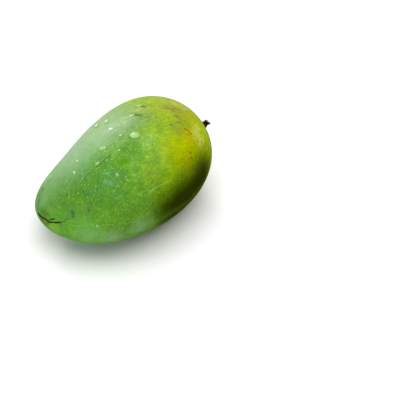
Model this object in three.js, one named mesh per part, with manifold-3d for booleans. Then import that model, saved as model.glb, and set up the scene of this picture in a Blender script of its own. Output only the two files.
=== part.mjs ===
// A whole green mango lying on its cheek, with the woody stub of its stalk still on.
//
// Millimetres, +Z up. The origin is the middle of the small flat spot that the fruit rests on.
// +X runs along the fruit from its tip to its stalk, and +Y points to the hollow side, where the
// outline draws in a little before the tip. The fruit is one solid: a ball drawn out along X, whose
// width, thickness and middle line each follow a short formula. The stalk is a turned, ribbed stub
// that plugs into a shallow socket at the stalk end.

import * as THREE from "three";
import { mergeVertices } from "three/addons/utils/BufferGeometryUtils.js";
import Module from "manifold-3d";

// Size of the fruit, each measured from its middle.
const HALF_LENGTH = 62.5;
const HALF_WIDTH = 43.2;
const HALF_THICKNESS = 35.4;

// How width and thickness change along the fruit: factors of 1, c, c squared and c cubed, where c
// goes from -1 at the tip to 1 at the stalk. Both are fullest on the stalk's side of the middle.
const WIDTH_ALONG = [1, 0.19, 0.1, -0.055];
const THICKNESS_ALONG = [1, 0.2, 0.1, 0.02];

// The middle line bows towards the back, and more so in the tip's half.
const BACK_BOW = 4.6;
const BACK_SKEW = 9.1;

// The cheeks are a trace fuller towards the back.
const BACK_FULLNESS = 0.02;

// The shallow hollow on the +Y side, before the tip.
const HOLLOW = { depth: 1.1, at: -0.47, reach: 0.22 };

// The dimple that the stalk stands in.
const DIMPLE = { depth: 1.4, reach: 0.17 };

// Slow swells that keep the cheeks from looking turned, as a share of the width.
const SWELL = 0.006;

// The beak: a low knob just above the tip, with a crease under it that runs round to the back.
// Places at the tip are (across, up) on the unit ball.
const BEAK = { height: 0.6, at: [-0.1, 0.27], reach: 0.14 };
const CREASE = {
  depth: 0.5,
  reach: 0.045,
  path: [
    [0.03, 0.15],
    [-0.24, 0.14],
    [-0.47, 0.3],
  ],
};

// How the fruit lies: the tilt that brings its weight over the flat, the point of the flat as seen
// from the fruit's middle, and how much of the skin the flat takes off.
const LYING_PITCH_DEG = -7.74;
const LYING_ROLL_DEG = -7.58;
const FLAT_AT = [3.42, -3.39];
const FLAT_BELOW = 33.93;

// The skin's rings of faces crowd towards the tip, where the crease is.
const FACES_AROUND = 84;
const FACES_ALONG = 54;
const TIP_CROWDING = 0.45;

// The stalk: radius at each height above the bottom of the dimple, from foot to broken end.
const STALK_PROFILE = [
  [2.35, -1.9],
  [2.5, -1.2],
  [2.6, 0.2],
  [2.6, 1.2],
  [2.58, 2.1],
  [2.55, 3],
  [2.35, 3.9],
  [1.94, 4.6],
  [1.78, 5.2],
  [1.84, 5.8],
  [2, 6.35],
  [2.08, 6.75],
  [2, 7.05],
  [1.7, 7.3],
  [0.9, 7.25],
];
const STALK_FOOT = -2.0;
const STALK_END = 7.2;
const STALK_FACES = 24;

// Bark ribs wind up the stalk, and its broken end slopes towards the top and the back.
const STALK_RIBS = { count: 5, share: 0.06, twist: 0.35 };
const BREAK_SLANT = { up: -0.45, back: -0.16 };

// Where the stalk stands at the bottom of the dimple, across and up, and how far it leans up.
const STALK_AT = [-0.9, -1.2];
const STALK_LEAN_DEG = 8.6;

// The socket for the stalk's foot, with room left all round it.
const SOCKET_GAP = 0.3;
const SOCKET_RADIUS = 2.6 + SOCKET_GAP;
const SOCKET_TOP = 6;

// Colours, as seen in daylight.
const SKIN_COLOUR = 0x6f9f3c;
const STALK_COLOUR = 0x3a2a1e;

const wasm = await Module();
wasm.setup();

function power(factors, c) {
  return factors.reduce((sum, factor, n) => sum + factor * c ** n, 0);
}

function bump(distance, reach) {
  return Math.exp(-((distance / reach) ** 2));
}

// Distance from (across, up) to a stretch of the crease.
function distanceTo(across, up, [x0, y0], [x1, y1]) {
  const dx = x1 - x0;
  const dy = y1 - y0;
  const share = ((across - x0) * dx + (up - y0) * dy) / (dx * dx + dy * dy);
  const t = THREE.MathUtils.clamp(share, 0, 1);
  return Math.hypot(across - x0 - t * dx, up - y0 - t * dy);
}

// How far the skin stands out at the tip: the beak, less the crease under it.
function tipRelief(along, across, up) {
  if (along > 0) return 0;
  const [a, b, c] = CREASE.path;
  const near = Math.min(distanceTo(across, up, a, b), distanceTo(across, up, b, c));
  const knob = bump(Math.hypot(across - BEAK.at[0], up - BEAK.at[1]), BEAK.reach);
  return BEAK.height * knob - CREASE.depth * bump(near, CREASE.reach);
}

// The skin's point for a direction of the unit ball: along the fruit, across it and up.
function skinPoint(along, across, up, out) {
  const ring = across * across + up * up;
  const middle = (BACK_SKEW * along - BACK_BOW) * ring;
  const hollowSide = ((1 + across) / 2) ** 2;
  const hollow = HOLLOW.depth * bump(along - HOLLOW.at, HOLLOW.reach) * hollowSide;
  const dimple = along > 0 ? DIMPLE.depth * Math.exp(-ring / DIMPLE.reach ** 2) : 0;
  const swell = 1 + SWELL * Math.sin(5 * across + 3 * along + 0.5) * Math.cos(4 * up - 2 * along);
  const relief = tipRelief(along, across, up);
  const width = HALF_WIDTH * power(WIDTH_ALONG, along) * swell;
  const thickness = HALF_THICKNESS * power(THICKNESS_ALONG, along) * swell;
  return out.set(
    HALF_LENGTH * along - dimple + relief * along,
    middle + width * across - hollow + relief * across,
    thickness * up * (1 - BACK_FULLNESS * across) + relief * up,
  );
}

// A closed geometry holding only positions, with its shared corners merged.
function closed(geometry) {
  geometry.deleteAttribute("normal");
  geometry.deleteAttribute("uv");
  return mergeVertices(geometry, 1e-4);
}

function solidOf(geometry) {
  return new wasm.Manifold(
    new wasm.Mesh({
      numProp: 3,
      vertProperties: new Float32Array(geometry.attributes.position.array),
      triVerts: new Uint32Array(geometry.index.array),
    }),
  );
}

function geometryOf(solid) {
  const { numProp, vertProperties, triVerts, numVert } = solid.getMesh();
  const positions = new Float32Array(numVert * 3);
  for (let i = 0; i < numVert; i += 1) {
    positions.set(vertProperties.subarray(i * numProp, i * numProp + 3), i * 3);
  }
  const geometry = new THREE.BufferGeometry();
  geometry.setAttribute("position", new THREE.BufferAttribute(positions, 3));
  geometry.setIndex(new THREE.BufferAttribute(triVerts, 1));
  geometry.computeVertexNormals();
  return geometry;
}

// The group that lays the fruit down: tilted, and moved so that its flat is at the origin.
function lyingGroup() {
  const group = new THREE.Group();
  group.rotation.set(
    THREE.MathUtils.degToRad(LYING_ROLL_DEG),
    THREE.MathUtils.degToRad(LYING_PITCH_DEG),
    0,
  );
  group.position.set(-FLAT_AT[0], -FLAT_AT[1], FLAT_BELOW);
  group.updateMatrix();
  return group;
}

// The whole skin as one ball, whose two poles are the tip and the stalk's dimple.
function ballOfSkin() {
  const geometry = closed(new THREE.SphereGeometry(1, FACES_AROUND, FACES_ALONG));
  const position = geometry.attributes.position;
  const direction = new THREE.Vector3();
  const point = new THREE.Vector3();
  for (let i = 0; i < position.count; i += 1) {
    direction.fromBufferAttribute(position, i).normalize();
    const ring = Math.hypot(direction.x, direction.z);
    const fromTip = Math.atan2(ring, -direction.y);
    const crowded = fromTip - TIP_CROWDING * Math.sin(fromTip) * (1 + Math.cos(fromTip)) / 2;
    const share = ring > 1e-9 ? Math.sin(crowded) / ring : 0;
    skinPoint(-Math.cos(crowded), direction.x * share, -direction.z * share, point);
    position.setXYZ(i, point.x, point.y, point.z);
  }
  return geometry;
}

// Presses flat whatever would reach below the surface that the fruit lies on.
function pressFlat(geometry, lying) {
  const back = lying.matrix.clone().invert();
  const position = geometry.attributes.position;
  const point = new THREE.Vector3();
  for (let i = 0; i < position.count; i += 1) {
    point.fromBufferAttribute(position, i).applyMatrix4(lying.matrix);
    if (point.z < 0) {
      point.setZ(0).applyMatrix4(back);
      position.setXYZ(i, point.x, point.y, point.z);
    }
  }
  return geometry;
}

// Stands a turned shape in the dimple: its own height runs along +X, leaning up.
function standInDimple(geometry) {
  return geometry
    .rotateZ(-Math.PI / 2)
    .rotateY(-THREE.MathUtils.degToRad(STALK_LEAN_DEG))
    .translate(HALF_LENGTH - DIMPLE.depth, ...STALK_AT);
}

function stalkSocket() {
  const floor = STALK_FOOT - SOCKET_GAP;
  const wall = [
    new THREE.Vector2(0, floor),
    new THREE.Vector2(SOCKET_RADIUS, floor),
    new THREE.Vector2(SOCKET_RADIUS, SOCKET_TOP),
    new THREE.Vector2(0, SOCKET_TOP),
  ];
  return standInDimple(closed(new THREE.LatheGeometry(wall, STALK_FACES)));
}

function fruitGeometry(lying) {
  const skin = solidOf(pressFlat(ballOfSkin(), lying));
  return geometryOf(skin.subtract(solidOf(stalkSocket())));
}

// The stub is turned, then ribbed along its grain above the foot, and broken off at a slant.
function stalkGeometry() {
  const profile = [
    new THREE.Vector2(0, STALK_FOOT),
    ...STALK_PROFILE.map(([radius, height]) => new THREE.Vector2(radius, height)),
    new THREE.Vector2(0, STALK_END),
  ];
  const geometry = closed(new THREE.LatheGeometry(profile, STALK_FACES));
  const position = geometry.attributes.position;
  const point = new THREE.Vector3();
  for (let i = 0; i < position.count; i += 1) {
    point.fromBufferAttribute(position, i);
    const above = THREE.MathUtils.smoothstep(point.y, 0, STALK_END);
    const turn = Math.atan2(point.z, point.x) + STALK_RIBS.twist * point.y;
    const rib = 1 + STALK_RIBS.share * above * Math.sin(STALK_RIBS.count * turn);
    const slant = above ** 3 * (BREAK_SLANT.up * point.z + BREAK_SLANT.back * point.x);
    position.setXYZ(i, point.x * rib, point.y + slant, point.z * rib);
  }
  return standInDimple(geometry);
}

function namedMesh(name, geometry, colour, roughness) {
  const material = new THREE.MeshStandardMaterial({ color: colour, roughness, metalness: 0 });
  const mesh = new THREE.Mesh(geometry, material);
  mesh.name = name;
  return mesh;
}

const mango = new THREE.Group();
const lying = lyingGroup();
lying.add(namedMesh("fruit", fruitGeometry(lying), SKIN_COLOUR, 0.42));
lying.add(namedMesh("stalk", stalkGeometry(), STALK_COLOUR, 0.85));
mango.add(lying);

export default mango;
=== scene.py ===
# %% [markdown]
# # A green mango, lying on its cheek
#
# This lesson dresses one whole mango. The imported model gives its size, its place and the way it
# lies, and this script gives it a fine skin, a rough stub of stalk and a few drops of water.
# Lengths are in metres. The row frame has its origin under the fruit, at the middle of the flat
# spot it rests on, +X towards the stalk, +Y towards the hollow side and +Z up.

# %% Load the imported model
import functools
import math

import bmesh
import bpy
import numpy as np
from mathutils import Matrix, Vector, noise
from mathutils.bvhtree import BVHTree


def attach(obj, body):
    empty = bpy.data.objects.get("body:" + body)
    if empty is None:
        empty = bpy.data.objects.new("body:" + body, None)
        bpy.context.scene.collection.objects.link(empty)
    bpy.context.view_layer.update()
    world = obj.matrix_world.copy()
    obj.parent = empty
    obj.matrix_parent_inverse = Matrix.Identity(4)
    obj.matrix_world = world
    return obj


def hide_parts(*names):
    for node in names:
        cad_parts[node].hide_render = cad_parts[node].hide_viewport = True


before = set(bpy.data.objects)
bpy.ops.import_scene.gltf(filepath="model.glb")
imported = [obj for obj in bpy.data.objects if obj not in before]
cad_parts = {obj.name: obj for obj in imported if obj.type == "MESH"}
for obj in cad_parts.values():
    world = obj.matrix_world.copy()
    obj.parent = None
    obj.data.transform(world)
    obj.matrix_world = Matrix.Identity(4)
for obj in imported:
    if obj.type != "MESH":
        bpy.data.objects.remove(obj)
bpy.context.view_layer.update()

MM = 0.001

# %% [markdown]
# ## The shape of the skin
#
# A mango is a ball that grew lopsided. The formula below takes a direction of the unit ball, as
# along the fruit (-1 at the tip, 1 at the stalk), across it and up, and gives the place of the
# skin. Width and thickness follow short polynomials, the middle line bows towards the back, and
# small terms add the hollow, the dimple, the beak and the crease. The solid was made by the same
# formula, so the fine skin here fits it without any measuring.

# %% Sizes that the skin shares with the solid
HALF_LENGTH = 62.5 * MM
HALF_WIDTH = 43.2 * MM
HALF_THICKNESS = 35.4 * MM
WIDTH_ALONG = (1, 0.19, 0.1, -0.055)
THICKNESS_ALONG = (1, 0.2, 0.1, 0.02)
BACK_BOW = 4.6 * MM
BACK_SKEW = 9.1 * MM
BACK_FULLNESS = 0.02
HOLLOW_DEPTH = 1.1 * MM
HOLLOW_AT = -0.47
HOLLOW_REACH = 0.22
DIMPLE_DEPTH = 1.4 * MM
DIMPLE_REACH = 0.17
SWELL = 0.006
BEAK_HEIGHT = 0.6 * MM
BEAK_AT = (-0.1, 0.27)
BEAK_REACH = 0.14
CREASE_DEPTH = 0.5 * MM
CREASE_REACH = 0.045
CREASE_PATH = ((0.03, 0.15), (-0.24, 0.14), (-0.47, 0.3))

LYING_PITCH = math.radians(-7.74)
LYING_ROLL = math.radians(-7.58)
LYING_SHIFT = Vector((-3.42, 3.39, 33.93)) * MM
lying = (
    Matrix.Translation(LYING_SHIFT)
    @ Matrix.Rotation(LYING_ROLL, 4, "X")
    @ Matrix.Rotation(LYING_PITCH, 4, "Y")
)


# %% The formula of the skin
def power(factors, value):
    return sum(factor * value**n for n, factor in enumerate(factors))


def bump(distance, reach):
    return np.exp(-((distance / reach) ** 2))


def distance_to_path(across, up, path):
    """How far places at the tip are from a path of straight stretches."""
    nearest = np.full(np.shape(across), 9.0)
    for (x0, y0), (x1, y1) in zip(path, path[1:]):
        dx, dy = x1 - x0, y1 - y0
        share = np.clip(((across - x0) * dx + (up - y0) * dy) / (dx * dx + dy * dy), 0, 1)
        nearest = np.minimum(nearest, np.hypot(across - x0 - share * dx, up - y0 - share * dy))
    return nearest


def tip_relief(along, across, up):
    """How far the skin stands out at the tip: the beak, less the crease under it."""
    knob = bump(np.hypot(across - BEAK_AT[0], up - BEAK_AT[1]), BEAK_REACH)
    fold = bump(distance_to_path(across, up, CREASE_PATH), CREASE_REACH)
    return np.where(along > 0, 0, BEAK_HEIGHT * knob - CREASE_DEPTH * fold)


def skin_places(along, across, up):
    """Places of the skin in the fruit's own frame, for directions of the unit ball."""
    ring = across**2 + up**2
    middle = (BACK_SKEW * along - BACK_BOW) * ring
    hollow = HOLLOW_DEPTH * bump(along - HOLLOW_AT, HOLLOW_REACH) * ((1 + across) / 2) ** 2
    dimple = np.where(along > 0, DIMPLE_DEPTH * np.exp(-ring / DIMPLE_REACH**2), 0)
    swell = 1 + SWELL * np.sin(5 * across + 3 * along + 0.5) * np.cos(4 * up - 2 * along)
    relief = tip_relief(along, across, up)
    width = HALF_WIDTH * power(WIDTH_ALONG, along) * swell
    thickness = HALF_THICKNESS * power(THICKNESS_ALONG, along) * swell
    return np.stack(
        [
            HALF_LENGTH * along - dimple + relief * along,
            middle + width * across - hollow + relief * across,
            thickness * up * (1 - BACK_FULLNESS * across) + relief * up,
        ],
        axis=-1,
    )


# %% [markdown]
# ## The fruit
#
# The fine skin starts as a round ball with its poles at the tip and the stalk, whose faces are
# then split once, which is quicker than a finer ball. Its rings are drawn together towards the
# tip, where the crease needs them, and every corner goes to its place by the formula. Whatever
# would sink below the table is pressed flat, as on the solid.

# %% Make the fruit
RINGS_AROUND = 170
RINGS_ALONG = 135
TIP_CROWDING = 0.45


def mesh_piece(name, shape):
    """Turns a finished bmesh into a smooth object at the origin."""
    mesh = bpy.data.meshes.new(name)
    shape.to_mesh(mesh)
    shape.free()
    mesh.polygons.foreach_set("use_smooth", [True] * len(mesh.polygons))
    piece = bpy.data.objects.new(name, mesh)
    bpy.context.scene.collection.objects.link(piece)
    return piece


ball = bmesh.new()
bmesh.ops.create_uvsphere(ball, u_segments=RINGS_AROUND, v_segments=RINGS_ALONG, radius=1)
bmesh.ops.subdivide_edges(ball, edges=ball.edges, cuts=1, use_grid_fill=True)
onto_x = Matrix.Rotation(math.pi / 2, 3, "Y")
bmesh.ops.rotate(ball, verts=ball.verts, cent=(0, 0, 0), matrix=onto_x)
fruit = mesh_piece("mango_skin", ball)

corners = np.empty(len(fruit.data.vertices) * 3)
fruit.data.vertices.foreach_get("co", corners)
corners = corners.reshape(-1, 3)
ring = np.hypot(corners[:, 1], corners[:, 2])
from_tip = np.arctan2(ring, -corners[:, 0])
crowded = from_tip - TIP_CROWDING * np.sin(from_tip) * (1 + np.cos(from_tip)) / 2
share = np.where(ring > 1e-9, np.sin(crowded) / np.maximum(ring, 1e-9), 0)
places = skin_places(-np.cos(crowded), corners[:, 1] * share, corners[:, 2] * share)
places = places @ np.array(lying.to_3x3()).T + np.array(LYING_SHIFT)
places[:, 2] = np.maximum(places[:, 2], 0)
fruit.data.vertices.foreach_set("co", places.ravel())
fruit.data.update()
print("skin:", len(fruit.data.polygons), "faces")
print("its size in mm:", (np.ptp(places, axis=0) / MM).round(1))

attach(fruit, "root")
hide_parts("fruit")

# %% [markdown]
# ## The camera
#
# The camera stands where the photographer stood: in front of the fruit, a little to the tip's
# side, looking down on it. It comes before the small marks, because each mark is placed by the
# pixel where it shows: a ray from the camera through that pixel finds the place on the skin.

# %% Set the camera
PICTURE_PIXELS = 400
SENSOR_WIDTH = 36
CAMERA_AZIMUTH = math.radians(-33.8)
CAMERA_ELEVATION = math.radians(46)
CAMERA_DISTANCE = 750 * MM
CAMERA_ASIDE = 50.6 * MM
CAMERA_BELOW = 18.8 * MM
LENS_PIXELS = 1153

right = Vector((math.cos(CAMERA_AZIMUTH), math.sin(CAMERA_AZIMUTH), 0))
back = Vector(
    (
        math.sin(CAMERA_AZIMUTH) * math.cos(CAMERA_ELEVATION),
        -math.cos(CAMERA_AZIMUTH) * math.cos(CAMERA_ELEVATION),
        math.sin(CAMERA_ELEVATION),
    )
)
upward = back.cross(right)

camera = bpy.data.objects.new("camera", bpy.data.cameras.new("camera"))
bpy.context.scene.collection.objects.link(camera)
bpy.context.scene.camera = camera
camera.data.sensor_width = SENSOR_WIDTH
camera.data.lens = SENSOR_WIDTH * LENS_PIXELS / PICTURE_PIXELS
camera.data.clip_start = 0.01
camera.data.clip_end = 20
camera.rotation_euler = Matrix((right, upward, back)).transposed().to_euler()
camera.location = (
    LYING_SHIFT + back * CAMERA_DISTANCE + right * CAMERA_ASIDE - upward * CAMERA_BELOW
)
bpy.context.view_layer.update()
skin_tree = BVHTree.FromObject(fruit, bpy.context.evaluated_depsgraph_get())


def skin_under(pixel):
    """The place and the outward direction of the skin that shows at a pixel."""
    aside = (pixel[0] - PICTURE_PIXELS / 2) / LENS_PIXELS
    above = (PICTURE_PIXELS / 2 - pixel[1]) / LENS_PIXELS
    ray = (right * aside + upward * above - back).normalized()
    place, normal, _, _ = skin_tree.ray_cast(camera.location, ray)
    if place is None:
        raise ValueError(f"no skin shows at pixel {pixel}")
    return place, normal


print("lens in mm:", round(camera.data.lens, 1))
print("skin at the middle of the fruit's side:", skin_under((128, 172))[0])

# %% [markdown]
# ## The stalk
#
# A mango is picked with a short stub of its woody stalk. The stub is turned from its radius at
# each height, ribbed and roughened along the grain, and its broken end slopes. Its foot stands
# inside the dimple, where the solid has its socket. The stub is made in millimetres, standing on
# +X, and shrunk to metres when it is put in its place.

# %% Make the stalk
STALK_FOOT = -2.0
STALK_TOP = 7.2
STALK_PROFILE = (
    (1.0, STALK_FOOT),
    (2.35, -1.9),
    (2.5, -1.2),
    (2.6, 0.2),
    (2.6, 1.2),
    (2.58, 2.1),
    (2.55, 3),
    (2.35, 3.9),
    (1.94, 4.6),
    (1.78, 5.2),
    (1.84, 5.8),
    (2, 6.35),
    (2.08, 6.75),
    (2, 7.05),
    (1.7, 7.3),
    (0.9, 7.25),
)
STALK_RIBS = 5
RIB_SHARE = 0.06
RIB_TWIST = 0.35
BREAK_UP = -0.45
BREAK_BACK = 0.16
STALK_AT = Vector((HALF_LENGTH - DIMPLE_DEPTH, -0.9 * MM, -1.2 * MM))
STALK_LEAN = math.radians(8.6)
BARK_RELIEF = 0.1
KNOT_SHARE = 0.6
SPLINTERS = 0.35
BROKEN_RADIUS = 1.9
BROKEN_DEPTH = 1.2
FINE_STEPS = 6
STALK_TURNS = 72


def fine_profile():
    """The stalk's profile with its corners rounded: radius and height at many steps."""
    radius, height = np.array([(0, STALK_FOOT), *STALK_PROFILE, (0, STALK_TOP)]).T
    known = np.arange(len(radius))
    wanted = np.linspace(0, known[-1], (len(radius) - 1) * FINE_STEPS + 1)
    radius = np.interp(wanted, known, radius)
    height = np.interp(wanted, known, height)
    for _ in range(FINE_STEPS):
        radius[1:-1] = (radius[:-2] + 2 * radius[1:-1] + radius[2:]) / 4
        height[1:-1] = (height[:-2] + 2 * height[1:-1] + height[2:]) / 4
    return radius, height


stub = bmesh.new()
line = [stub.verts.new((h, r, 0)) for r, h in zip(*fine_profile())]
edges = [stub.edges.new(pair) for pair in zip(line, line[1:])]
bmesh.ops.spin(
    stub,
    geom=line + edges,
    cent=(0, 0, 0),
    axis=(1, 0, 0),
    angle=2 * math.pi,
    steps=STALK_TURNS,
    use_merge=True,
)
bmesh.ops.remove_doubles(stub, verts=stub.verts, dist=1e-5)
bmesh.ops.recalc_face_normals(stub, faces=stub.faces)
for vert in stub.verts:
    height, y, z = vert.co
    rise = min(max(height / STALK_TOP, 0), 1)
    above = rise * rise * (3 - 2 * rise)
    turn = math.atan2(z, -y) + RIB_TWIST * height
    grain = noise.noise(Vector((height * 0.5, y * 1.6, z * 1.6)))
    knots = noise.noise(Vector((height * 1.7, y * 2.2, z * 2.2)) + Vector((5, 1, 3)))
    rib = RIB_SHARE * math.sin(STALK_RIBS * turn)
    swell = 1 + above * (rib + BARK_RELIEF * (grain + KNOT_SHARE * knots))
    slant = above**3 * (BREAK_UP * z + BREAK_BACK * y + SPLINTERS * knots)
    vert.co = Vector((height + slant, y * swell, z * swell))
for face in stub.faces:
    middle = face.calc_center_median()
    inside = math.hypot(middle.y, middle.z) < BROKEN_RADIUS
    face.material_index = int(inside and middle.x > STALK_TOP - BROKEN_DEPTH)
stalk_place = lying @ Matrix.Translation(STALK_AT) @ Matrix.Rotation(-STALK_LEAN, 4, "Y")
bmesh.ops.transform(stub, matrix=stalk_place @ Matrix.Scale(MM, 4), verts=stub.verts)
stalk = mesh_piece("stalk_stub", stub)
print("stalk:", len(stalk.data.polygons), "faces")

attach(stalk, "root")
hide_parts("stalk")

# %% [markdown]
# ## Drops of water
#
# The fruit was rinsed, and small drops cling to its wax. A drop is a shallow dome that meets the
# skin at a steep edge. Each one is a ball, drawn out a little along its own length and made
# uneven, then sunk into the skin, so that only the dome stands out. The ones that the photo
# shows are placed by their pixels, and a few more lie on the far side.

# %% Make the drops
BIG_DROP = (134.8, 135.8)
BRIGHT_DROP = (110.6, 129.2)
EDGE_DROP = (96.7, 126.2)
UPPER_DROP = (106.7, 121.6)
STREAK_DROP = (131.4, 115.9)
TOP_DROP = (139.0, 106.2)
LONG_DROP = (102.9, 148.6)
SCRATCH_DROP = (97.5, 163.7)
LEFT_DROP = (74.6, 172.9)
LEFT_DOT = (77.2, 160.6)
MIDDLE_DROP = (117.3, 174.9)
SIDE_DROP = (120.8, 135.4)
MIDDLE_DOT = (119.3, 150.2)
LOW_DROP = (97.2, 225.9)
RIGHT_DOT = (207.6, 148.4)
FAR_DOT = (75.7, 146.4)

# Each drop: its pixel, its length and width in millimetres, the turn of its length, and how milky
# it looks, from 0 for clear to 1 for one that holds the light.
DROPS = (
    (BIG_DROP, 7.4, 6.2, 5, 0.55),
    (BRIGHT_DROP, 3.5, 2.6, -15, 0.9),
    (EDGE_DROP, 4.4, 3.3, 35, 0.6),
    (UPPER_DROP, 5.2, 3.0, 35, 0.5),
    (STREAK_DROP, 5.0, 2.0, 22, 0.5),
    (TOP_DROP, 4.4, 2.0, 8, 0.35),
    (LONG_DROP, 6.6, 3.9, 20, 0.3),
    (SCRATCH_DROP, 3.7, 2.6, 30, 0.3),
    (LEFT_DROP, 2.5, 3.2, 0, 0.6),
    (LEFT_DOT, 1.2, 1.2, 0, 1.0),
    (MIDDLE_DROP, 3.4, 2.6, -50, 0.2),
    (SIDE_DROP, 3.3, 2.0, 30, 0.5),
    (MIDDLE_DOT, 1.2, 1.1, 0, 0.8),
    (LOW_DROP, 2.4, 2.1, 0, 0.2),
    (RIGHT_DOT, 1.4, 1.2, 0, 0.55),
    (FAR_DOT, 1.2, 1.0, 0, 0.8),
)
DROP_RISE = 0.34
DROP_SINK = 0.4
FAR_DROPS = 9
FAR_SEED = 12
FAR_START = 300 * MM
FAR_FACING = -0.15
FAR_WIDTHS = (1.2, 3.8)
FAR_LENGTHENED = 1.15
FAR_MILK = (0.3, 0.7)

# One ball is the template of all drops, so the heights of its corners are worked out once.
dome = bmesh.new()
bmesh.ops.create_uvsphere(dome, u_segments=40, v_segments=28, radius=1)
DOME_CORNERS = [vert.co.copy() for vert in dome.verts]

# The way to the light that the painted highlight on each drop faces.
DROP_GLINT = Vector((-0.35, 0.3, 0.85)).normalized()


def add_drop(water, place, normal, length, width, turn):
    """Adds one dome of water to a bmesh, and tells how each corner faces the light."""
    side = (right - normal * right.dot(normal)).normalized()
    side.rotate(Matrix.Rotation(math.radians(turn), 3, normal))
    stand = Matrix((side, normal.cross(side), normal)).transposed()
    rise = DROP_RISE * width / (1 - DROP_SINK)
    for vert, corner in zip(dome.verts, DOME_CORNERS):
        # Half the size, a little more or less, turned differently at each place.
        around = math.atan2(corner.y, corner.x) + place.x * 900
        uneven = 0.5 + 0.025 * math.sin(2 * around) + 0.02 * math.sin(3 * around + 1)
        flat = (corner.x * length * uneven, corner.y * width * uneven)
        vert.co = place + stand @ Vector((*flat, (corner.z - DROP_SINK) * rise))
    passing = bpy.data.meshes.new("passing")
    dome.to_mesh(passing)
    water.from_mesh(passing)
    bpy.data.meshes.remove(passing)
    return [(stand @ corner).dot(DROP_GLINT) for corner in DOME_CORNERS]


water = bmesh.new()
milky = []
facing = []
for pixel, length, width, turn, milk in DROPS:
    place, normal = skin_under(pixel)
    facing += add_drop(water, place, normal, length * MM, width * MM, turn)
    milky.append(milk)
chance = np.random.default_rng(FAR_SEED)
while len(milky) < len(DROPS) + FAR_DROPS:
    aim = Vector((chance.uniform(-0.8, 0.8), chance.uniform(0.5, 1.0), chance.uniform(0.1, 0.9)))
    aim.normalize()
    place, normal, _, _ = skin_tree.ray_cast(LYING_SHIFT + aim * FAR_START, -aim)
    if normal.dot(back) > FAR_FACING:
        continue
    width = chance.uniform(*FAR_WIDTHS) * MM
    turn = chance.uniform(0, 180)
    facing += add_drop(water, place, normal, width * FAR_LENGTHENED, width, turn)
    milky.append(chance.uniform(*FAR_MILK))
dome.free()
drops = mesh_piece("water_drops", water)

# Each corner keeps three things for the finish: how high it is on its dome, how milky its drop is
# and how squarely it faces the light.
heights = [max(0, (corner.z - DROP_SINK) / (1 - DROP_SINK)) for corner in DOME_CORNERS]
corner_values = {
    "dome": np.tile(heights, len(milky)),
    "milk": np.repeat(milky, len(heights)),
    "facing": np.array(facing),
}
for name, values in corner_values.items():
    kept = drops.data.attributes.new(name, "FLOAT", "POINT")
    kept.data.foreach_set("value", values.astype(np.float32))
print("drops:", len(milky), "with", len(drops.data.polygons), "faces")
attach(drops, "root")

# %% [markdown]
# ## Shader maths
#
# A finish is a graph of nodes. The two small classes here let it be written as arithmetic: a
# Wire stands for a socket, each operator on it adds one Math node, and any other node comes from
# the one method `node`, which takes its settings and the values of its sockets.


# %% Wires and finishes
class Wire:
    """A socket that plain arithmetic works on."""

    def __init__(self, finish, socket):
        self.finish = finish
        self.socket = socket

    def maths(self, operation, *values):
        return self.finish.node("ShaderNodeMath", dict(enumerate(values)), operation=operation)

    def __add__(self, other):
        return self.maths("ADD", self, other)

    def __sub__(self, other):
        return self.maths("SUBTRACT", self, other)

    def __rsub__(self, other):
        return self.maths("SUBTRACT", other, self)

    def __mul__(self, other):
        return self.maths("MULTIPLY", self, other)

    def most(self, other):
        return self.maths("MAXIMUM", self, other)

    def least(self, other):
        return self.maths("MINIMUM", self, other)

    __radd__ = __add__
    __rmul__ = __mul__


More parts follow.
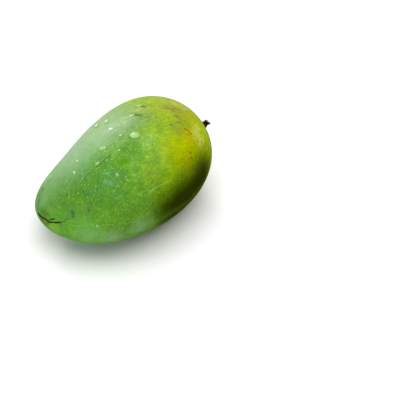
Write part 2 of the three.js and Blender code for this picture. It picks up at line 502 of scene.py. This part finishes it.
class Finish:
    """One material, with the few calls that its recipe is written in."""

    def __init__(self, name):
        self.material = bpy.data.materials.new(name)
        self.material.use_nodes = True
        self.tree = self.material.node_tree
        self.surface = self.tree.nodes["Principled BSDF"]
        self.place = self.node("ShaderNodeTexCoord", output="Object")

    def feed(self, socket, value):
        if isinstance(value, Wire):
            self.tree.links.new(value.socket, socket)
        else:
            socket.default_value = value

    def node(self, kind, values=None, output=0, stops=(), **settings):
        """Adds a node: its settings first, then its sockets by name or number."""
        made = self.tree.nodes.new(kind)
        for name, value in settings.items():
            setattr(made, name, value)
        for at, _ in stops[2:]:
            made.color_ramp.elements.new(at)
        for stop, (at, colour) in enumerate(stops):
            made.color_ramp.elements[stop].position = at
            made.color_ramp.elements[stop].color = colour
        for key, value in (values or {}).items():
            self.feed(made.inputs[key], value)
        return Wire(self, made.outputs[output])

    def wear(self, **values):
        """Sets sockets of the surface, such as base_color or roughness."""
        for key, value in values.items():
            name = key.replace("_", " ").title().replace("Ior", "IOR")
            self.feed(self.surface.inputs[name], value)

    def cloud(self, size, detail=2.0, rough=0.5, output=0):
        """Soft noise from 0 to 1 whose patches are about that size."""
        values = {"Vector": self.place, "Scale": 1 / size, "Detail": detail, "Roughness": rough}
        return self.node("ShaderNodeTexNoise", values, output=output)

    def blend(self, share, low, high):
        """Between two colours."""
        values = {0: share, 6: low, 7: high}
        return self.node("ShaderNodeMix", values, output=2, data_type="RGBA")

    def ease(self, value, start, end):
        """0 before start, 1 after end, and smooth between them."""
        values = {"Value": value, "From Min": start, "From Max": end}
        return self.node("ShaderNodeMapRange", values, interpolation_type="SMOOTHSTEP")

    def vectors(self, operation, first, second, output=0):
        values = {0: first, 1: second}
        return self.node("ShaderNodeVectorMath", values, output=output, operation=operation)

    def scaled(self, vector, by):
        """A vector or a colour, made longer or brighter."""
        return self.node("ShaderNodeVectorMath", {0: vector, "Scale": by}, operation="SCALE")

    def bumped(self, height, strength, depth):
        """The direction that the surface faces, once a relief lies on it."""
        values = {"Height": height, "Strength": strength, "Distance": depth}
        return self.node("ShaderNodeBump", values)

    def stirred(self, size, strength):
        """The place, pushed about by noise, so that edges drawn on it are uneven."""
        push = self.vectors("SUBTRACT", self.cloud(size, output=1), (0.5, 0.5, 0.5))
        return self.vectors("ADD", self.place, self.scaled(push, strength))

    def patch(self, place, at, reach, core=0.0):
        """1 at a point, easing to 0 at its reach."""
        apart = self.vectors("DISTANCE", place, tuple(at), output="Value")
        return 1 - self.ease(apart, reach * core, reach)

    def streak(self, place, start, end, reach, core=0.0):
        """1 along a straight stretch between two points, easing to 0 at its reach."""
        along = Vector(end) - Vector(start)
        per_length = tuple(along / along.length_squared)
        local = self.vectors("SUBTRACT", place, tuple(start))
        share = self.vectors("DOT_PRODUCT", local, per_length, output="Value")
        foot = self.scaled(tuple(along), share.most(0).least(1))
        apart = self.vectors("DISTANCE", local, foot, output="Value")
        return 1 - self.ease(apart, reach * core, reach)

    def dots(self, place, spacing, radius):
        """Small round dots, one in each cell of that spacing: 1 inside a dot."""
        values = {"Vector": place, "Scale": 1 / spacing}
        cells = self.node("ShaderNodeTexVoronoi", values, output="Distance")
        return 1 - self.ease(cells, radius / spacing * 0.4, radius / spacing)


def strongest(masks):
    """One mask that is as strong as the strongest of them at each place."""
    return functools.reduce(Wire.most, masks)


def linear(part):
    """One part of a screen colour, from 0 to 1, as the amount of light it stands for."""
    return part / 12.92 if part <= 0.04045 else ((part + 0.055) / 1.055) ** 2.4


def paint(code):
    """A colour code such as 0x6F9F3C as the linear numbers that nodes expect."""
    return (*[linear((code >> shift & 255) / 255) for shift in (16, 8, 0)], 1.0)


# %% [markdown]
# ## The skin's finish
#
# A mango's skin is a waxy film over green flesh. What one sees is, from below to above: a ground
# colour that ripens from blue-green to yellow towards the stalk, cloudy mottling a few
# millimetres wide, thousands of pale pores, a dark lower flank that is partly painted shade, specks
# and rubbed marks near the stalk, a few scratches, a dark crease at the tip, and a faint pale bloom
# on the upper side that is partly painted sheen. Each is a mask from 0 to 1 over the fruit, and the
# masks mix named colours, one after another.

# %% Colours of the skin
BLUE_GREEN = paint(0x4A8739)
DEEP_GREEN = paint(0x528724)
LEAF_GREEN = paint(0x629526)
LIME = paint(0x80A323)
YELLOW_GREEN = paint(0x94A600)
GOLD = paint(0xAA9C06)
PORE_PALE = paint(0xAED478)
FLANK_SHADE_OLIVE = paint(0x1E2402)
SPECK_DARK = paint(0x1C2606)
SPECK_BROWN = paint(0x3E2C08)
SMUDGE_OLIVE = paint(0x767430)
PATCH_OLIVE = paint(0xC4C25C)
SCRATCH_GREEN = paint(0x1E4A12)
BLOOM_SHEEN_PALE = paint(0x9CB894)
CREASE_BROWN = paint(0x62501A)
BEAK_GREEN = paint(0x467400)
SCAR_PALE = paint(0xD2D0AC)
DROP_SHADOW_GREEN = paint(0x436A00)
SPOT_GREEN = paint(0x468200)
SCUFF_OLIVE = paint(0x4E5610)
DUSK_GREEN = paint(0x44703C)

# %% [markdown]
# Marks are placed by the pixel where they show and measured in millimetres. Two helpers turn
# them into masks: a round spot, and a line of short straight stretches. Both are drawn over places
# that noise has pushed about, which keeps their edges from looking ruled: far for wide soft areas,
# and a little for fine marks.

# %% Masks for marks
skin = Finish("mango_skin")
wide_stir = skin.stirred(14 * MM, 8 * MM)
small_stir = skin.stirred(2 * MM, 1.2 * MM)


def spot(pixel, reach, core=0.0, place=wide_stir):
    """A round mask on the skin that shows at a pixel, with its reach in millimetres."""
    return skin.patch(place, skin_under(pixel)[0], reach * MM, core)


def drawn(line, reach, core=0.0, place=wide_stir):
    """A line through pixels of the picture, as a mask with its reach in millimetres."""
    points = [skin_under(pixel)[0] for pixel in line]
    pairs = zip(points, points[1:])
    return strongest([skin.streak(place, *pair, reach * MM, core) for pair in pairs])


def fine_spot(pixel, reach, core=0.2):
    return spot(pixel, reach, core, small_stir)


def fine_line(line, reach, core=0.2):
    return drawn(line, reach, core, small_stir)


# %% [markdown]
# The ground colour first. One number says how ripe each place is, and a colour ramp turns it
# into a colour. It rises along the fruit, more so under the sun-side flush near the stalk, and
# noise of three sizes makes it cloudy, because a ripening skin never turns evenly. Single clouds,
# cooler or warmer, stand where the photo shows them.

# %% How ripe the skin is
YELLOW_FLUSH = (181, 151)
ORANGE_BLUSH = ((187, 131), (191, 139))
COOL_CLOUDS = (
    (131, 150, 12),
    (134, 123, 9),
    (108, 182, 13),
    (90, 192, 10),
    (82, 170, 14),
    (122, 198, 9),
    (118, 175, 10),
    (105, 176, 10),
    (105, 163, 9),
)
WARM_CLOUDS = (
    (110, 218, 12),
    (84, 206, 10),
    (122, 163, 6),
    (48, 214, 6),
    (150, 172, 12),
    (160, 108, 14),
    (187, 114, 15),
    (178, 106, 10),
)

along_fruit = skin.node("ShaderNodeSeparateXYZ", {0: skin.place}, output="X")
wide = skin.cloud(24 * MM, 2.0)
mottle = skin.cloud(5 * MM, 3.0, 0.6)
fine = skin.cloud(1.6 * MM, 3.0, 0.7)

ripe = 0.2 + 0.6 * skin.ease(along_fruit, -50 * MM, 45 * MM)
ripe = ripe + 0.14 * spot(YELLOW_FLUSH, 20, 0.2) + 0.16 * drawn(ORANGE_BLUSH, 7)
for *pixel, reach in COOL_CLOUDS:
    ripe = ripe - 0.14 * spot(pixel, reach, 0.1)
for *pixel, reach in WARM_CLOUDS:
    ripe = ripe + 0.1 * spot(pixel, reach, 0.1)
ripe = ripe + 0.22 * (wide - 0.5) + 0.3 * (mottle - 0.5) + 0.2 * (fine - 0.5)
ripeness = [
    (0.0, BLUE_GREEN),
    (0.25, DEEP_GREEN),
    (0.45, LEAF_GREEN),
    (0.65, LIME),
    (0.85, YELLOW_GREEN),
    (1.0, GOLD),
]
colour = skin.node("ShaderNodeValToRGB", {0: ripe}, stops=ripeness)
print("ripe ground:", len(ripeness), "colours,", len(COOL_CLOUDS) + len(WARM_CLOUDS), "clouds")

# %% [markdown]
# The mottling also makes the skin lighter and darker, not only riper. Some broad places are paler
# as a whole and some are darker. The paler belly near the table is painted light, as if the table
# lit it from below.

# %% The shade of the mottling
PALER_AND_LIT_PLACES = (
    (85, 233, 24, 0.3),
    (53, 225, 12, 0.35),
    (140, 224, 14, 0.3),
    (202, 134, 14, 0.3),
    (184, 118, 18, 0.08),
    (186, 146, 14, 0.12),
)
DARKER_PLACES = (
    (112, 176, 16, 0.08),
    (148, 172, 14, 0.12),
    (131, 118, 26, 0.24),
    (160, 116, 18, 0.1),
    (88, 198, 20, 0.18),
    (60, 196, 16, 0.12),
    (118, 138, 17, 0.14),
    (76, 177, 15, 0.1),
)

shade = 1 + 0.5 * (mottle - 0.5) + 1.0 * (fine - 0.5)
# The first three paler places are painted light on the belly near the table.
for *pixel, reach, strength in PALER_AND_LIT_PLACES:
    shade = shade + strength * spot(pixel, reach)
for *pixel, reach, strength in DARKER_PLACES:
    shade = shade - strength * spot(pixel, reach)
colour = skin.scaled(colour, shade)
print("shade:", len(PALER_AND_LIT_PLACES), "paler places and", len(DARKER_PLACES), "darker ones")

# %% [markdown]
# Pores are pale corky dots, 0.3 to 1 mm wide. Two layers of Voronoi cells, one dot in each cell,
# give two sizes, and the wide noise makes them crowd in some places and fade in others.

# %% Pores
PORE_SPACINGS = (3.2 * MM, 1.7 * MM)
PORE_RADII = (0.68 * MM, 0.5 * MM)

large_pores, small_pores = [
    skin.dots(skin.place, spacing, radius) for spacing, radius in zip(PORE_SPACINGS, PORE_RADII)
]
crowding = 0.35 + 0.65 * skin.ease(wide + 0.4 * mottle, 0.5, 0.9)
crowding = crowding * (0.5 + 0.5 * skin.ease(along_fruit, -45 * MM, -5 * MM))
crowding = crowding * (1 - 0.5 * spot(YELLOW_FLUSH, 22, 0.3))
pores = (large_pores * 0.7).most(small_pores * 0.55) * crowding
colour = skin.blend(pores, colour, PORE_PALE)
print("pores: one in every", [round(spacing / MM, 1) for spacing in PORE_SPACINGS], "mm")

# %% [markdown]
# The full yellow of the flush is a glaze. It takes the blue out of the colour that is there, pores
# and all, where a flat yellow would cover them. Then the lower flank goes dark: painted shade over
# a deep olive that the skin partly has, drawn between points of the row frame and not by pixels,
# because it goes on softly underneath, where the picture shows nothing.

# %% The yellow glaze and the dark flank
FULL_FLUSH = (
    ((187, 152), (168, 198), 16),
    ((189.5, 117), (193.5, 124), 9),
    ((204, 141), (207, 150), 8),
)
TAKE_BLUE = (1.0, 0.98, 0.15)

# Each streak: its two ends and its reach in millimetres, its core, and its strength. The first
# two run along the flank towards the tip, and the other two lie below them.
FLANK_SHADE_STREAKS = (
    ((32.4, -31.4, 39.4), (4.6, -49.6, 37.7), 27, 0.12, 1.0),
    ((4.6, -49.6, 37.7), (-9, -52.5, 31), 43, 0.0, 0.44),
    ((30, -31, 27), (4, -45, 24), 25, 0.0, 0.97),
    ((42, -16, 14), (4, -32, 8), 38, 0.0, 0.6),
)

glaze = skin.vectors("MULTIPLY", colour, TAKE_BLUE)
glazed = strongest([drawn(ends, reach, 0.4) for *ends, reach in FULL_FLUSH])
colour = skin.blend(glazed * 0.85, colour, glaze)
# Painted shade on the lower flank, over a deep olive that the skin partly has.
flank_shade = strongest(
    [
        strength * skin.streak(wide_stir, Vector(start) * MM, Vector(end) * MM, reach * MM, core)
        for start, end, reach, core, strength in FLANK_SHADE_STREAKS
    ]
)
colour = skin.blend(flank_shade * 0.96, colour, FLANK_SHADE_OLIVE)
print("glaze:", len(FULL_FLUSH), "streaks, flank:", len(FLANK_SHADE_STREAKS), "streaks")

# %% [markdown]
# Old knocks and rubs come next. The stalk's shoulder has worn pale patches, olive smudges with
# short dark scuffs in them, and brown specks that crowd in places. A few dark specks lie at the
# tip, and one spot of deeper green and two pale spots lie between, with two dark green patches of
# painted shadow beside drops.

# %% Specks and smudges
PALE_PATCHES = (((197.5, 131), (199.5, 138), 9), ((169, 102), (182, 108), 6))
SMUDGES = (((167, 106), (178, 110), 8), ((178, 113), (184, 124), 9), ((175, 126), (180, 131), 7))
SPECK_PLACES = ((188.5, 132, 5), (190, 136, 4), (196.5, 142, 3), (192, 155, 5), (176, 110, 4))
TIP_SPECKS = (
    (66.8, 194.5, 0.9),
    (73.2, 213.3, 1.5),
    (72, 211, 1.1),
    (73, 216.2, 1.1),
    (88.6, 210.4, 1.1),
)
GREEN_SPOT = ((121, 163.4), (126, 161.2))
SCUFFS = (
    ((166.3, 108.4), (168.2, 108.9)),
    ((171, 109.4), (174, 110.2)),
    ((186.4, 110.9), (188, 111.4)),
    ((177, 122), (180, 122.8)),
    ((170, 124.8), (172.4, 125.3)),
    ((175.5, 116.2), (178, 117)),
)
PALE_SPOTS = ((105.5, 181.5, 2.6), (110.5, 183.5, 2.4))
DROP_SHADOW_STREAKS = (((135.5, 114.6), (141, 115.6), 2.0), ((142, 106.2), (145, 106.8), 1.5))

for *ends, reach in PALE_PATCHES:
    worn = drawn(ends, reach) * skin.ease(mottle + fine, 0.75, 1.2)
    colour = skin.blend(worn * 0.8, colour, PATCH_OLIVE)
rubbed = strongest([drawn(ends, reach) for *ends, reach in SMUDGES])
rubbed = rubbed * skin.ease(0.5 * mottle + fine, 0.62, 0.86)
colour = skin.blend(rubbed * 0.8, colour, SMUDGE_OLIVE)

crowd = strongest([spot(pixel, reach, 0.3) for *pixel, reach in SPECK_PLACES])
brown = skin.dots(small_stir, 1.9 * MM, 0.75 * MM) * crowd
lone = skin.dots(skin.stirred(3 * MM, 1 * MM), 13 * MM, 0.45 * MM)
colour = skin.blend(brown.most(lone * 0.7), colour, SPECK_BROWN)

dark = strongest([fine_spot(pixel, reach) for *pixel, reach in TIP_SPECKS])
colour = skin.blend(dark * 0.85, colour, SPECK_DARK)
colour = skin.blend(0.85 * fine_line(GREEN_SPOT, 3.2), colour, SPOT_GREEN)
scuffed = strongest([fine_line(ends, 0.9) for ends in SCUFFS])
colour = skin.blend(0.65 * scuffed, colour, SCUFF_OLIVE)
for *pixel, reach in PALE_SPOTS:
    colour = skin.blend(0.25 * fine_spot(pixel, reach, 0.0), colour, BLOOM_SHEEN_PALE)
# Painted shadows: two dark green patches beside drops, where the drops shade the skin.
drop_shadows = strongest([fine_line(ends, reach, 0.1) for *ends, reach in DROP_SHADOW_STREAKS])
colour = skin.blend(0.85 * drop_shadows, colour, DROP_SHADOW_GREEN)
print("rubs and knocks:", len(skin.tree.nodes), "nodes so far")

# %% [markdown]
# A scratch is a thin dark groove with a paler lip beside it. Noise breaks both of them up, because
# a scratch is deeper in some places than in others. A fainter scratch, a pale streak beside a drop,
# a corky scar and a dark spot near the edge have one line or spot each.

# %% Scratches and scars
SCRATCH = (
    (110.5, 154.5),
    (104, 160),
    (97, 166.5),
    (87, 175),
    (81.5, 182),
    (80, 185.5),
    (83.5, 192),
)
LIP_ASIDE = 0.7
PALE_SCRATCH = ((147, 194), (155, 188), (163, 184), (171, 180))
PALE_DROP_STREAK = ((121, 118.8), (128, 117), (134, 114.4))
EDGE_SCAR = ((51.7, 175.4), (47.5, 179), (45.2, 182))
EDGE_SPOT = (42.8, 189.6)

scratch = fine_line(SCRATCH, 0.5)
lip = fine_line([(x - LIP_ASIDE, y - LIP_ASIDE) for x, y in SCRATCH], 0.45)
uneven = skin.ease(skin.cloud(3 * MM), 0.3, 0.55)
colour = skin.blend(lip * uneven * 0.25, colour, PORE_PALE)
colour = skin.blend(scratch * uneven * 0.9, colour, SCRATCH_GREEN)
colour = skin.blend(fine_line(PALE_SCRATCH, 0.9) * 0.16, colour, PORE_PALE)
colour = skin.blend(fine_line(PALE_DROP_STREAK, 0.7) * 0.6, colour, BLOOM_SHEEN_PALE)
colour = skin.blend(fine_line(EDGE_SCAR, 0.9) * 0.6, colour, SCAR_PALE)
colour = skin.blend(fine_spot(EDGE_SPOT, 1.8, 0.3) * 0.9, colour, SPECK_DARK)
print("scratches:", len(skin.tree.nodes), "nodes so far")

# %% [markdown]
# The crease at the tip is almost black inside, and brown on the skin under it. The dark line
# follows the groove that the shape has, and fades out a little past its end. The beak above it is
# rubbed to a clean deep green, a thin dark line runs from it along the edge of the fruit, and two
# dusky places lie a little further in.

# %% The crease
CREASE_THICK = ((38.9, 213.9), (41.5, 216.8), (45.6, 218.9), (49.2, 221.9))
CREASE_THIN = ((49.2, 221.9), (55, 222.5), (60.4, 222.4))
CREASE_TAIL = ((60.4, 222.4), (64.5, 221), (68, 218.8))
CREASE_BLOT = ((49.8, 219.6), (54.8, 218.9))
CREASE_STAIN = ((41.5, 219.3), (44.5, 221.6), (48, 224.3))
BEAK_PATCH = ((42.4, 211.8), (46.5, 214.2))
STAIN_GLOW = ((50.5, 225), (58, 229))
EDGE_LINE = ((43.2, 187), (40.6, 193.5), (38.8, 200), (38.4, 206), (38.8, 212))
DUSKY_PLACES = ((71, 211, 6), (86, 211, 7))

for *pixel, reach in DUSKY_PLACES:
    dusk = spot(pixel, reach) * skin.ease(fine, 0.35, 0.65)
    colour = skin.blend(dusk * 0.6, colour, DUSK_GREEN)
beak = fine_line(BEAK_PATCH, 4.6, 0.1)
colour = skin.blend(beak * 0.9, colour, BEAK_GREEN)
colour = skin.blend(drawn(STAIN_GLOW, 4, 0.1) * 0.5, colour, LIME)
colour = skin.blend(fine_line(CREASE_STAIN, 2.0) * 0.7, colour, CREASE_BROWN)
colour = skin.blend(fine_line(EDGE_LINE, 0.9) * 0.55, colour, SPECK_DARK)
fold = strongest(
    [
        fine_line(CREASE_THICK, 1.5, 0.4),
        fine_line(CREASE_THIN, 0.8, 0.4),
        0.55 * fine_line(CREASE_TAIL, 0.7),
        fine_line(CREASE_BLOT, 1.0, 0.3) * skin.ease(fine, 0.3, 0.5),
    ]
)
colour = skin.blend(fold * 0.95, colour, SPECK_DARK)
print("crease:", len(skin.tree.nodes), "nodes so far")

# %% [markdown]
# Last, the wax. A pale bloom lies on the upper side of the tip's half, and in a few fainter clouds
# elsewhere. Its pale colour is partly the wax's own bloom and partly painted sheen, where the wax
# mirrors the low light behind the fruit; the clouds along the lower rim are a painted reflection of
# the table. The bloom is also a thin coat over the skin: stronger there, and strong again under the
# fruit, where it picks up the table. The flank, the crease and the beak have none, and the glaze
# has little. Pores and mottling also give the surface its fine relief.

# %% Bloom, gloss and relief
# Pale clouds of the bloom; the three along the lower rim paint a reflection of the table.
WAX_AND_SHEEN_CLOUDS = (
    (146, 138, 9, 0.2),
    (137, 124, 10, 0.3),
    (112, 238, 14, 0.4),
    (90, 236, 14, 0.3),
    (140, 228, 12, 0.4),
    (43, 200, 11, 0.45),
)

height = skin.node("ShaderNodeSeparateXYZ", {0: skin.place}, output="Z")
aside = skin.node("ShaderNodeSeparateXYZ", {0: wide_stir}, output="Y")
bloom_and_sheen = skin.ease(height, 20 * MM, 48 * MM) * skin.ease(aside, -16 * MM, 14 * MM)
bloom_and_sheen = bloom_and_sheen * (1 - 0.85 * skin.ease(along_fruit, -12 * MM, 28 * MM))
bloom_and_sheen = bloom_and_sheen * (0.4 + 0.6 * skin.ease(along_fruit, -62 * MM, -30 * MM))
for *pixel, reach, strength in WAX_AND_SHEEN_CLOUDS:
    bloom_and_sheen = bloom_and_sheen.most(strength * spot(pixel, reach))
bloom_and_sheen = bloom_and_sheen * (1 - 0.8 * drop_shadows)
# Painted sheen: this pale blend is partly the wax's own bloom and partly painted sheen and
# reflection.
colour = skin.blend(bloom_and_sheen * (0.38 + 0.4 * mottle), colour, BLOOM_SHEEN_PALE)

rough = 0.4 + 0.2 * (mottle - 0.5) + 0.1 * rubbed
peel = skin.cloud(0.9 * MM, 2.0, 0.5)
relief = 0.5 * peel + 0.9 * mottle - 0.8 * pores - 1.2 * scratch - 1.5 * dark
under = (1 - skin.ease(height, 12 * MM, 34 * MM)) * (1 - skin.ease(along_fruit, -25 * MM, 5 * MM))
wax = (0.1 + 0.45 * bloom_and_sheen).most(0.4 * under)
wax = wax * (1 - flank_shade) * (1 - fold) * (1 - 0.8 * glazed) * (1 - beak)
skin.wear(base_color=colour, roughness=rough, normal=skin.bumped(relief, 0.4, 0.12 * MM))
skin.wear(coat_weight=wax, coat_roughness=0.4, specular_ior_level=0.0)
fruit.data.materials.append(skin.material)
print("skin finish:", len(skin.tree.nodes), "nodes")

# %% [markdown]
# ## Bark and broken wood
#
# The stub has dried almost black. Ridges along the grain catch a little light, and the end where
# it snapped is a paler grey brown. Two materials share the piece, chosen face by face.

# %% Finish the stalk
BARK_DARK = paint(0x0F0602)
BARK_RIDGE = paint(0x2E180A)
BROKEN_PALE = paint(0xBBA597)
BROKEN_DARK = paint(0x6A5242)

bark = Finish("stalk_bark")
ridges = bark.cloud(0.9 * MM, 4.0, 0.7)
flakes = bark.dots(bark.stirred(1 * MM, 0.5 * MM), 0.8 * MM, 0.5 * MM)
bark.wear(
    base_color=bark.blend(bark.ease(ridges, 0.45, 0.75), BARK_DARK, BARK_RIDGE),
    roughness=0.6 + 0.25 * ridges,
    normal=bark.bumped(ridges + 0.4 * flakes, 0.8, 0.3 * MM),
    specular_ior_level=0.05,
)

wood = Finish("stalk_broken_end")
fibres = wood.cloud(0.35 * MM, 3.0, 0.7)
wood.wear(
    base_color=wood.blend(wood.ease(fibres, 0.35, 0.7), BROKEN_DARK, BROKEN_PALE),
    roughness=0.8,
    normal=wood.bumped(fibres, 0.7, 0.2 * MM),
)
for finish in (bark, wood):
    stalk.data.materials.append(finish.material)
    print(finish.material.name + ":", len(finish.tree.nodes), "nodes")

# %% [markdown]
# ## Water
#
# A drop is a small lens. It gathers light inside, so its middle is paler than the skin round it,
# its rim is darker, and its smooth surface mirrors the lamps as glints. Real refraction would need
# far more samples than a drop of a few pixels is worth, so the finish paints the lens itself: the
# height on the dome mixes a rim of painted shade with a middle of painted light, half see-through,
# and a painted highlight lies where the dome faces the light.

# %% Finish the drops
WATER_RIM_SHADE = paint(0x2C5C16)
WATER_PALE = paint(0xB2DC90)
WATER_HIGHLIGHT = paint(0xEEFCE4)

clear = Finish("clear_water")
dome_height, milk, facing_light = [
    clear.node("ShaderNodeAttribute", attribute_name=name, output="Fac")
    for name in ("dome", "milk", "facing")
]
# Painted light: a rim of painted shade, a paler middle and a painted highlight where the dome faces
# the light.
middle = clear.ease(dome_height, 0.05, 0.35)
inside = clear.blend(clear.ease(milk, 0.6, 1.0), WATER_PALE, WATER_HIGHLIGHT)
glint = clear.ease(facing_light, 0.86, 0.98) * middle
water_colour = clear.blend(middle, WATER_RIM_SHADE, inside)
water_colour = clear.blend(glint * (0.15 + 0.75 * milk), water_colour, WATER_HIGHLIGHT)
seen = (0.3 + middle * (0.7 * milk - 0.05)).most(glint * (0.25 + 0.7 * milk))
clear.wear(base_color=water_colour, alpha=seen, roughness=0.1)
clear.wear(coat_weight=1.0, coat_roughness=0.04, specular_ior_level=0.0)
drops.data.materials.append(clear.material)
print("water finish:", len(clear.tree.nodes), "nodes")

# %% [markdown]
# ## Floor and light
#
# The setting is a plain pale table in soft studio light. A wide soft light stands low behind the
# fruit, where the wax mirrors it along the upper edge, with a small one beside it that the drops
# mirror as a glint. A large one hangs above, a weak one brightens the tip, and the pale floor fills
# the shade from below.

# %% Set the floor and the lights
FLOOR_SIZE = 6
FLOOR_PALE = (0.85, 0.85, 0.85, 1.0)
ROOM_WHITE = (1, 1, 1, 1)
ROOM_LIGHT = 0.16

# Each light: its name, the way to it from the fruit, how far off it is, its width and height, both
# in metres, and its power in watts.
LIGHTS = (
    ("window_light", (-0.08, 0.92, 0.42), 1.1, (1.2, 0.7), 3.3),
    ("glint_light", (0.15, 0.86, 0.5), 1.2, (0.3, 0.3), 2.4),
    ("top_light", (0.05, -0.15, 1.0), 1.3, (1.4, 1.4), 23.5),
    ("tip_light", (-1.0, -0.45, 0.35), 1.4, (0.9, 0.9), 7),
)

sheet = bmesh.new()
bmesh.ops.create_grid(sheet, x_segments=2, y_segments=2, size=FLOOR_SIZE / 2)
floor = mesh_piece("floor", sheet)
pale = Finish("pale_floor")
pale.wear(base_color=FLOOR_PALE, roughness=0.9)
floor.data.materials.append(pale.material)

for name, towards, distance, size, power in LIGHTS:
    lamp = bpy.data.lights.new(name, "AREA")
    lamp.shape = "RECTANGLE"
    lamp.size, lamp.size_y = size
    lamp.energy = power
    stand = bpy.data.objects.new(name, lamp)
    bpy.context.scene.collection.objects.link(stand)
    way = Vector(towards).normalized()
    stand.location = LYING_SHIFT + way * distance
    stand.rotation_euler = way.to_track_quat("Z", "Y").to_euler()
    print(name + ":", power, "W")

world = bpy.data.worlds.new("room")
bpy.context.scene.world = world
world.use_nodes = True
room = world.node_tree.nodes["Background"].inputs
room["Color"].default_value = ROOM_WHITE
room["Strength"].default_value = ROOM_LIGHT
bpy.context.scene.view_settings.view_transform = "Standard"
